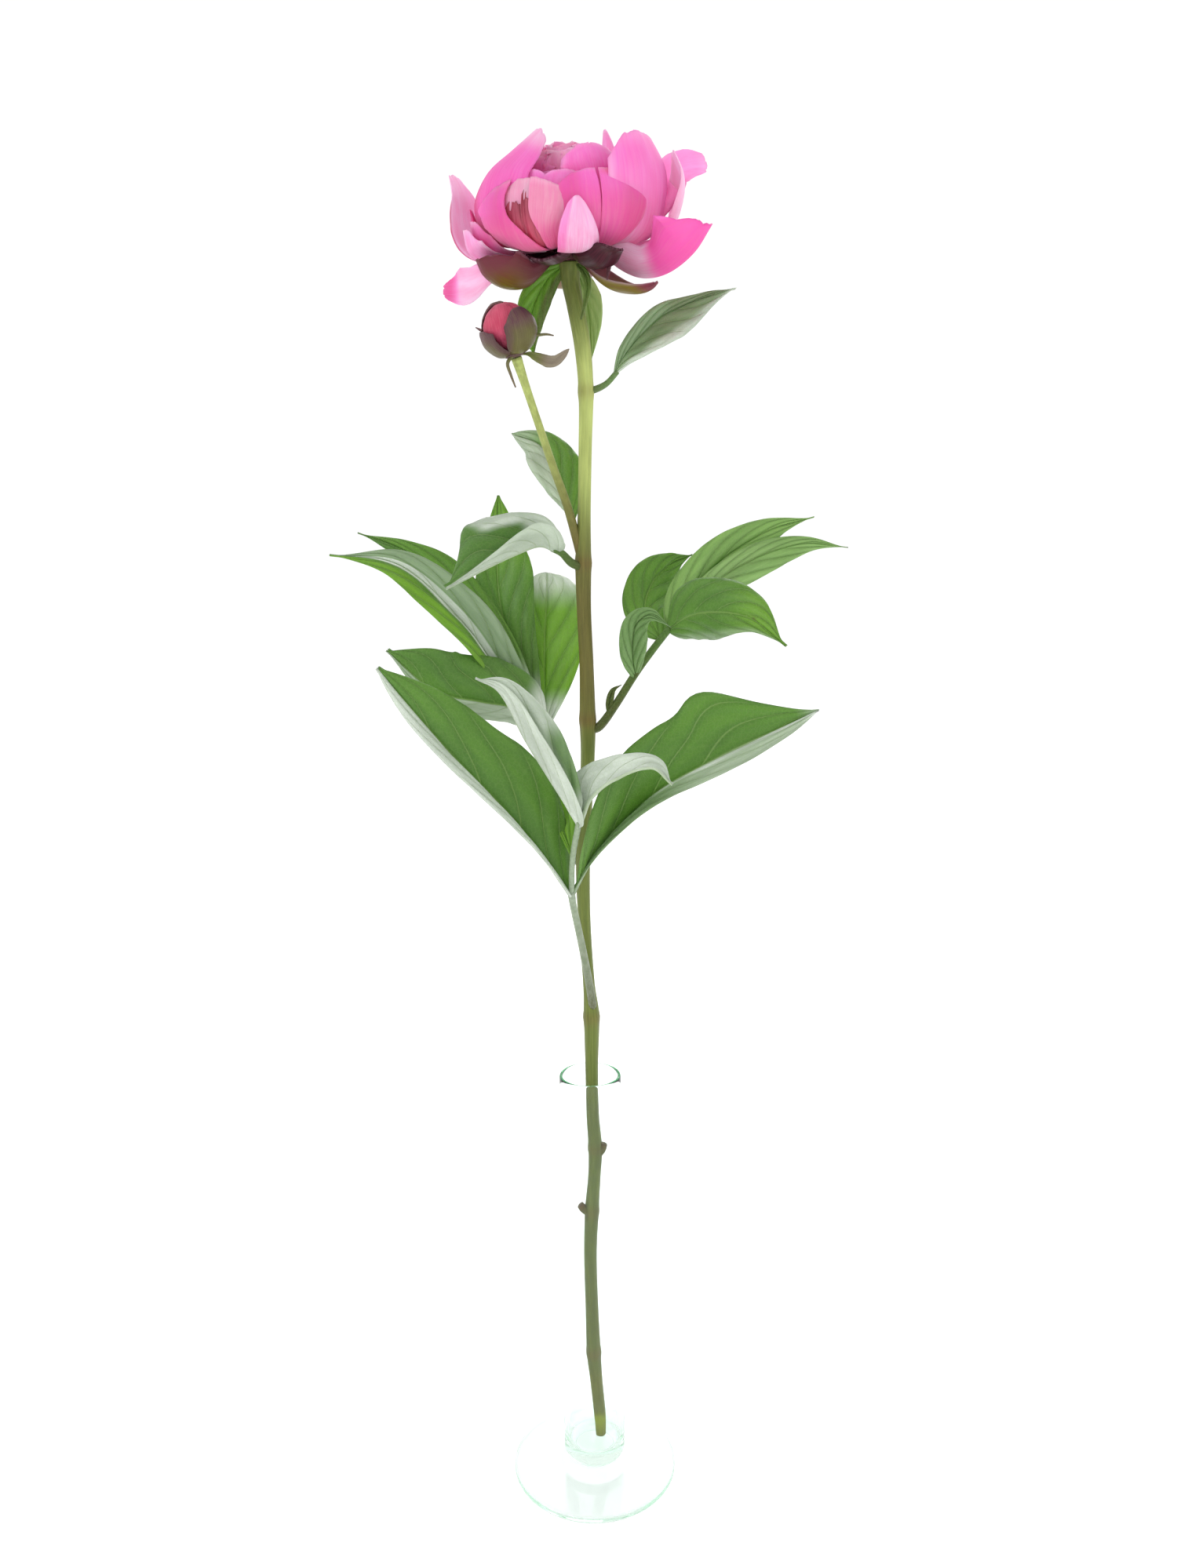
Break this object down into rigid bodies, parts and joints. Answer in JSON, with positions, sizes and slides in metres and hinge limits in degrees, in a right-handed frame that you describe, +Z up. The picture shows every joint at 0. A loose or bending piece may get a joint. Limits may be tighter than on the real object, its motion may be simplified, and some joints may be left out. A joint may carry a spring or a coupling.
{
  "type": "cut peony in a bud vase",
  "caption": "Open pink peony with a side bud, divided leaves and a woody cut stem, standing in a slim clear glass bud vase on a round disc foot.",
  "frame": {"origin": "centre of the underside of the vase's round foot, at the table's level", "axes": "+Z up along the vase, +X to the viewer's right, -Y towards the viewer"},
  "size_m": [0.2292, 0.137, 0.6051],
  "materials": {
    "glass": "gloss",
    "stem_green": "satin",
    "leaf_green": "satin",
    "bract_green": "satin",
    "sepal_maroon": "satin",
    "petal_pink": "matte",
    "heart_pink": "matte",
    "bud_crimson": "satin"
  },
  "bodies": {
    "root": {"vase": "glass", "stem": "stem_green", "leaf_front": "leaf_green", "leaf_back_left": "leaf_green", "leaf_right": "leaf_green", "leaf_left": "leaf_green", "leaf_upper_left": "leaf_green", "leaf_upper_right": "leaf_green", "bract_left": "bract_green", "bract_strap": "bract_green", "bract_back": "bract_green", "bloom_calyx": "sepal_maroon", "bloom_petals": "petal_pink", "bloom_heart": "heart_pink", "bud_petals": "bud_crimson", "bud_calyx": "sepal_maroon"}
  },
  "joints": []
}
